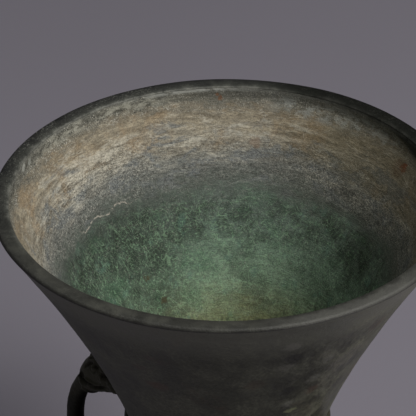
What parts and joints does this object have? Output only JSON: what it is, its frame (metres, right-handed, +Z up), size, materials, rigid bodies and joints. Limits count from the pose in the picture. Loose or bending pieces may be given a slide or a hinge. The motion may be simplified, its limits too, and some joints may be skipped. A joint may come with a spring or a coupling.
{
  "type": "bronze offering vase",
  "caption": "Cast bronze altar vase with a wide trumpet mouth, ringed neck, round belly, hollow spreading foot and two loop handles held in the mouths of beast heads.",
  "frame": {"origin": "centre of the foot's underside, on the ground", "axes": "+Z up along the vessel's axis, X through the two handles, Y across them"},
  "size_m": [0.168, 0.168, 0.25],
  "materials": {
    "bronze": "dark brown-black patina outside, green verdigris and tan mineral deposit inside"
  },
  "bodies": {
    "root": {"vase": "bronze"}
  },
  "joints": []
}
